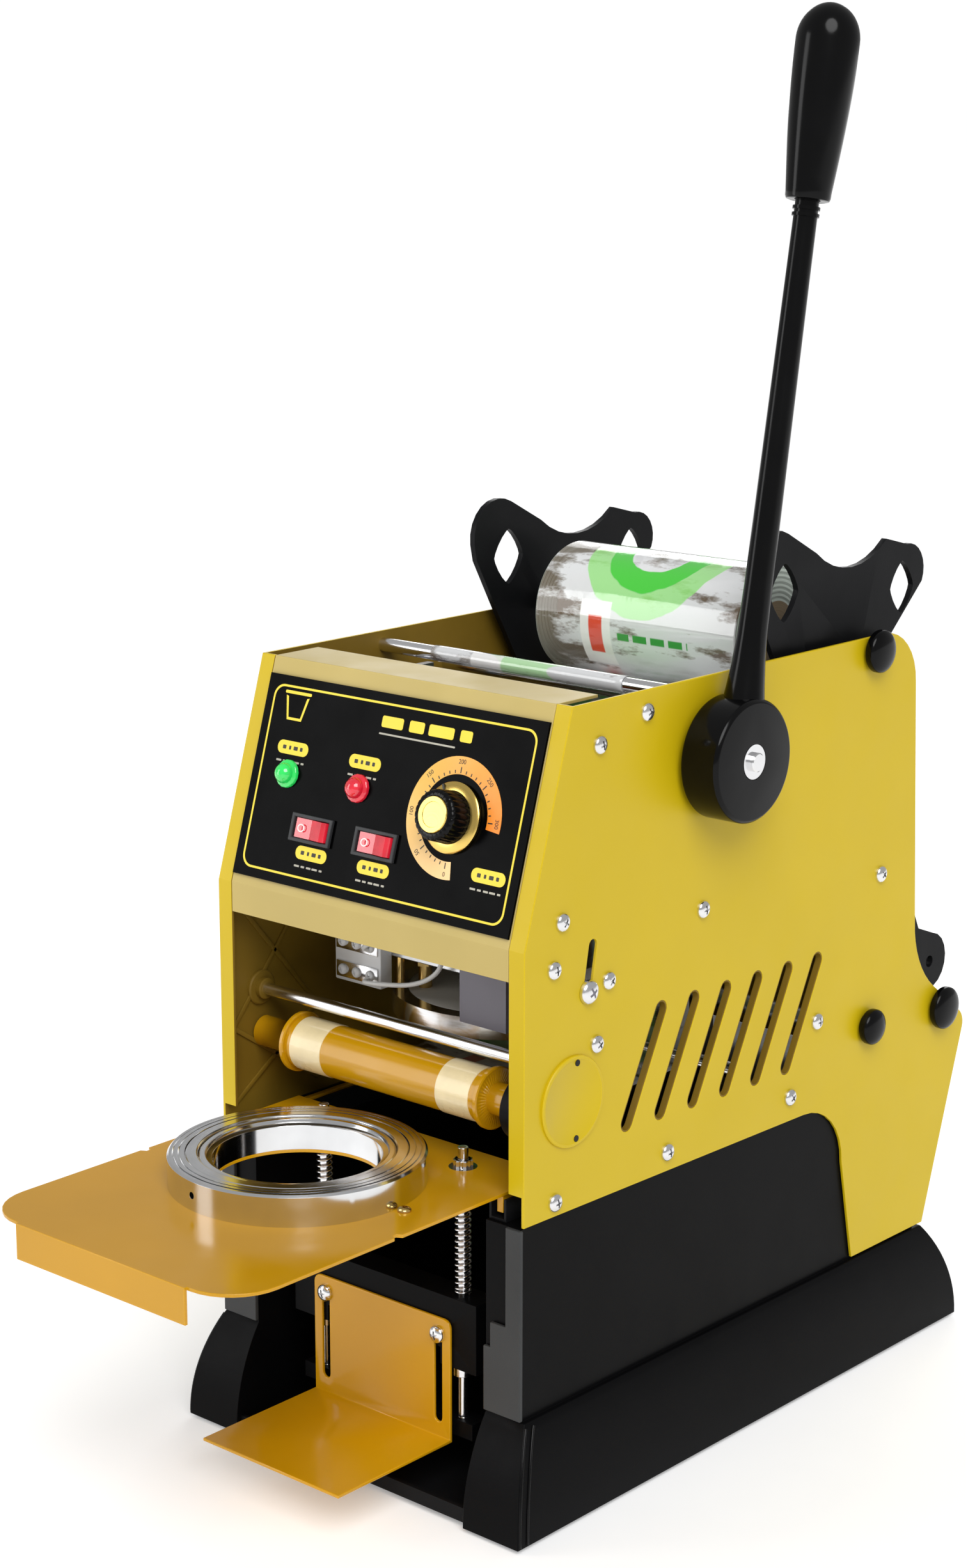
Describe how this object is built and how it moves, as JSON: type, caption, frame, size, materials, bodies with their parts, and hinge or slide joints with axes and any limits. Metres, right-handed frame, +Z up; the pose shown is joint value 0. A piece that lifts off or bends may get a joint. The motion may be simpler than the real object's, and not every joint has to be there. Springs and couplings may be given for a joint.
{
  "type": "cup sealing machine",
  "caption": "Lever-operated cup sealing machine: sheet-metal body on a flared base, slanted control face, pull-out ring tray, cup rest, film roll and take-up roller.",
  "frame": {"origin": "on the ground, under the middle of the whole outline with the drawer out and the lever up", "axes": "+Z up, +X to the operator's right (the lever side), -Y out of the front, the way the drawer pulls out"},
  "size_m": [0.2281, 0.512, 0.6681],
  "materials": {
    "yellow_paint": "glossy powder coat",
    "gold_paint": "glossy powder coat",
    "beige_paint": "satin powder coat",
    "black_abs": "satin moulded",
    "grey_abs": "fine texture",
    "black_steel": "satin powder coat",
    "rubber": "matt",
    "bright_steel": "ground",
    "zinc_steel": "zinc plated",
    "spring_steel": "drawn wire",
    "polished_aluminium": "turned and polished",
    "aluminium": "milled",
    "brass": "turned",
    "bronze": "sintered",
    "gloss_black": "gloss",
    "panel_black": "printed gloss sheet",
    "lens_green": "clear moulded",
    "lens_red": "clear moulded",
    "switch_grey": "moulded",
    "ceramic": "pressed board",
    "white_plastic": "moulded",
    "core_board": "wound board",
    "film": "clear printed film",
    "sensor_grey": "moulded",
    "transformer_steel": "varnished"
  },
  "bodies": {
    "base": {"base_pod_left": "black_abs", "base_pod_right": "black_abs", "column_trims": "grey_abs", "base_plate": "black_steel", "rubber_feet": "rubber", "component_shelf": "black_steel", "side_plate_left": "yellow_paint", "side_plate_right": "yellow_paint", "control_box": "beige_paint", "panel_sheet": "panel_black", "rear_cover": "yellow_paint", "guide_plate": "zinc_steel", "frame_ties": "zinc_steel", "side_screws": "bright_steel", "take_up_cover": "yellow_paint", "thumb_knobs": "gloss_black", "lamp_green": "lens_green", "lamp_red": "lens_red", "switch_housings": "switch_grey", "temperature_controller": "black_abs", "transformer": "transformer_steel", "power_inlet": "black_abs", "bronze_bushes": "bronze", "return_springs": "spring_steel", "film_brackets": "black_steel", "film_web": "film", "guide_rods": "bright_steel", "rear_brackets": "black_steel", "take_up_motor": "black_steel", "tray_rails": "black_steel"},
    "drawer": {"tray_plate": "gold_paint", "ring_outer": "polished_aluminium", "ring_middle": "polished_aluminium", "ring_inner": "polished_aluminium", "ring_screws": "brass", "lifter_guides": "bright_steel", "lifter_springs": "spring_steel"},
    "lifter": {"lifter_bar": "black_abs", "rest_screws": "bright_steel"},
    "cup_rest": {"cup_rest": "gold_paint"},
    "lever": {"lever_shaft": "bright_steel", "lever_hub": "gloss_black", "lever_arm": "gloss_black", "lever_grip": "gloss_black", "lever_cranks": "zinc_steel"},
    "head": {"head_plate": "aluminium", "guide_pillars": "bright_steel", "head_yoke": "zinc_steel", "insulation_plate": "ceramic", "heater_block": "aluminium", "cutter_ring": "bright_steel", "brass_posts": "brass", "terminal_box": "white_plastic"},
    "heater_switch": {"rocker_heater": "lens_red"},
    "feed_switch": {"rocker_feed": "lens_red"},
    "dial": {"temperature_knob": "gloss_black"},
    "take_up": {"take_up_roller": "gold_paint"},
    "supply": {"film_core": "core_board", "film_roll": "film"},
    "sensor": {"film_sensor": "sensor_grey"}
  },
  "joints": [
    {"name": "lever_pull", "type": "hinge", "parent": "base", "child": "lever", "pos_m": [0.09967, 0.0365, 0.3365], "axis": [1, 0, 0], "range_deg": [0, 75]},
    {"name": "head_slide", "type": "slide", "parent": "base", "child": "head", "axis": [0, 0, 1], "range_m": [-0.0293, 0], "stiffness_N_per_m": 500, "springref_m": 0.03, "deforming": ["return_springs"]},
    {"name": "drawer_slide", "type": "slide", "parent": "base", "child": "drawer", "axis": [0, 1, 0], "range_m": [0, 0.14]},
    {"name": "lifter_slide", "type": "slide", "parent": "drawer", "child": "lifter", "axis": [0, 0, 1], "range_m": [0, 0.03], "stiffness_N_per_m": 400, "springref_m": -0.01, "deforming": ["lifter_springs"]},
    {"name": "cup_rest_slide", "type": "slide", "parent": "lifter", "child": "cup_rest", "axis": [0, 0, 1], "range_m": [0, 0.038]},
    {"name": "heater_rocker", "type": "hinge", "parent": "base", "child": "heater_switch", "pos_m": [-0.04807, -0.08445, 0.30094], "axis": [0, 0.2882, 0.9576], "range_deg": [0, 20]},
    {"name": "feed_rocker", "type": "hinge", "parent": "base", "child": "feed_switch", "pos_m": [-0.00808, -0.08445, 0.30094], "axis": [0, 0.2882, 0.9576], "range_deg": [0, 20]},
    {"name": "temperature_dial", "type": "hinge", "parent": "base", "child": "dial", "pos_m": [0.03392, -0.07993, 0.31942], "axis": [0, 0.9576, -0.2882], "range_deg": [0, 285]},
    {"name": "take_up_spin", "type": "hinge", "parent": "base", "child": "take_up", "pos_m": [-0.00808, -0.0685, 0.1905], "axis": [1, 0, 0], "continuous": true},
    {"name": "roll_spin", "type": "hinge", "parent": "base", "child": "supply", "pos_m": [-0.00808, 0.1275, 0.376], "axis": [1, 0, 0], "continuous": true},
    {"name": "sensor_slide", "type": "slide", "parent": "base", "child": "sensor", "axis": [0, 0.1776, 0.9841], "range_m": [0, 0.016]}
  ],
  "couplings": [
    {"joint": "head_slide", "follows": "lever_pull", "m_per_rad": -0.022323}
  ]
}
